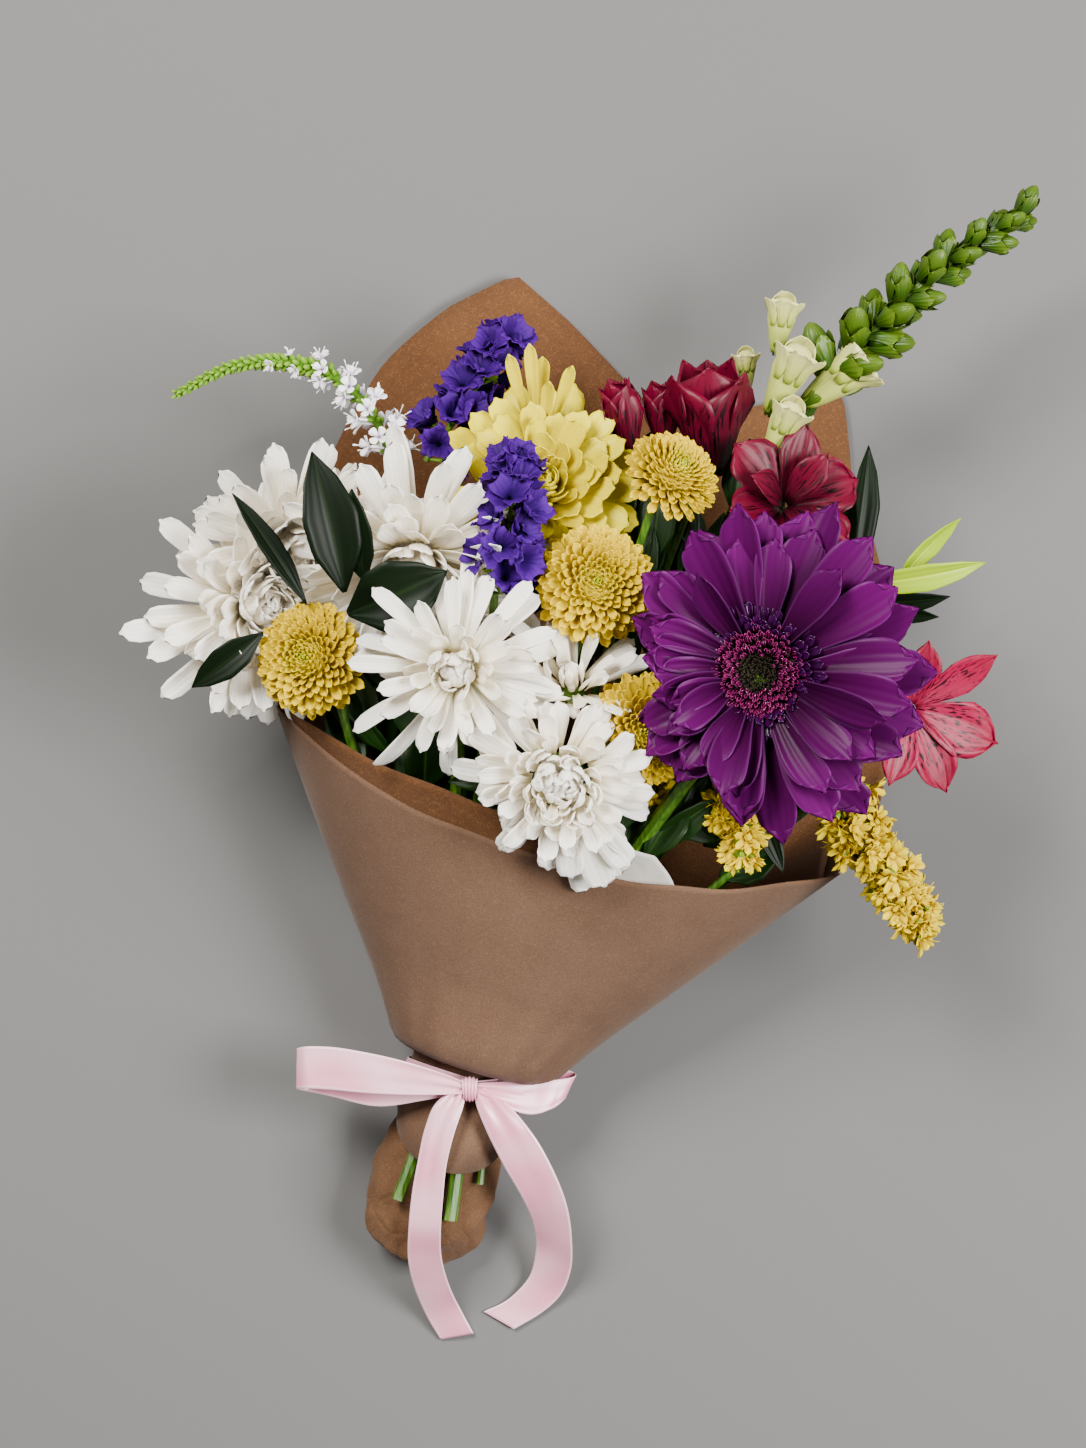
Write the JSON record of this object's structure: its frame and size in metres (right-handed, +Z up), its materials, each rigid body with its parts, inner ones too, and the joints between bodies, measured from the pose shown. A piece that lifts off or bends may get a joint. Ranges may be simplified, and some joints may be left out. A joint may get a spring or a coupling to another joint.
{
  "type": "mixed flower bouquet",
  "caption": "Mixed flower bouquet in a kraft paper cone, tied with a pink satin ribbon and lying on its back.",
  "frame": {"origin": "below the middle of the bouquet, on the surface that it lies on", "axes": "+Y from the stem ends to the flower heads, +X to the bouquet's right as it is looked at, +Z up, the way its front faces"},
  "size_m": [0.336, 0.4534, 0.1487],
  "materials": {
    "kraft_paper": "uncoated brown kraft paper, fibrous and lightly creased",
    "tissue": "thin pale grey tissue",
    "satin_ribbon": "pale pink satin ribbon with a woven edge",
    "white_petals": "matt warm white petals, creamier in the middle",
    "lemon_petals": "matt lemon yellow petals",
    "golden_petals": "matt golden petals, yellow-green in the middle",
    "violet_petals": "velvety violet petals with pale margins",
    "purple_disc": "fine maroon florets round a near-black centre",
    "blue_florets": "papery blue-violet ruffles",
    "crimson_petals": "crimson petals with dark streaks",
    "snapdragon_buds": "waxy green buds and cream flowers",
    "veronica_florets": "green bracts and tiny white florets",
    "goldenrod_florets": "tiny golden florets with green bracts",
    "dark_leaf": "glossy very dark green leaf",
    "light_leaf": "soft yellow-green leaf",
    "green_stem": "smooth green stem"
  },
  "bodies": {
    "root": {"alstroemeria_bud": "crimson_petals", "alstroemeria_goblet": "crimson_petals", "alstroemeria_leaf_thin": "light_leaf", "alstroemeria_leaf_wide": "light_leaf", "alstroemeria_open": "crimson_petals", "alstroemeria_right": "crimson_petals", "alstroemeria_right_stem": "green_stem", "alstroemeria_stem": "green_stem", "foot_pouch": "kraft_paper", "gerbera_disc": "purple_disc", "gerbera_petals": "violet_petals", "gerbera_stem": "green_stem", "goldenrod_left": "goldenrod_florets", "goldenrod_right": "goldenrod_florets", "goldenrod_stem": "green_stem", "mum_leaf_front": "dark_leaf", "mum_leaf_mouth": "dark_leaf", "pompon_left": "golden_petals", "pompon_left_stem": "green_stem", "pompon_low": "golden_petals", "pompon_low_stem": "green_stem", "pompon_mid": "golden_petals", "pompon_mid_stem": "green_stem", "pompon_top": "golden_petals", "pompon_top_stem": "green_stem", "ribbon_band": "satin_ribbon", "ribbon_knot": "satin_ribbon", "ribbon_loop_left": "satin_ribbon", "ribbon_loop_right": "satin_ribbon", "ribbon_tail_left": "satin_ribbon", "ribbon_tail_right": "satin_ribbon", "ruscus_leaf_cross": "dark_leaf", "ruscus_leaf_far_right": "dark_leaf", "ruscus_leaf_low": "dark_leaf", "ruscus_leaf_right": "dark_leaf", "ruscus_leaf_short": "dark_leaf", "ruscus_leaf_tall": "dark_leaf", "ruscus_leaf_thin": "dark_leaf", "snapdragon": "snapdragon_buds", "snapdragon_stem": "green_stem", "statice_mid": "blue_florets", "statice_stem": "green_stem", "statice_top": "blue_florets", "tissue_liner": "tissue", "veronica": "veronica_florets", "veronica_stem": "green_stem", "white_mum_back": "white_petals", "white_mum_centre": "white_petals", "white_mum_centre_stem": "green_stem", "white_mum_left": "white_petals", "white_mum_left_stem": "green_stem", "white_mum_low": "white_petals", "white_mum_low_stem": "green_stem", "white_mum_mid": "white_petals", "white_mum_top": "white_petals", "white_mum_top_stem": "green_stem", "wrapper_inner": "kraft_paper", "wrapper_outer": "kraft_paper", "yellow_mum": "lemon_petals", "yellow_mum_stem": "green_stem"}
  },
  "joints": []
}
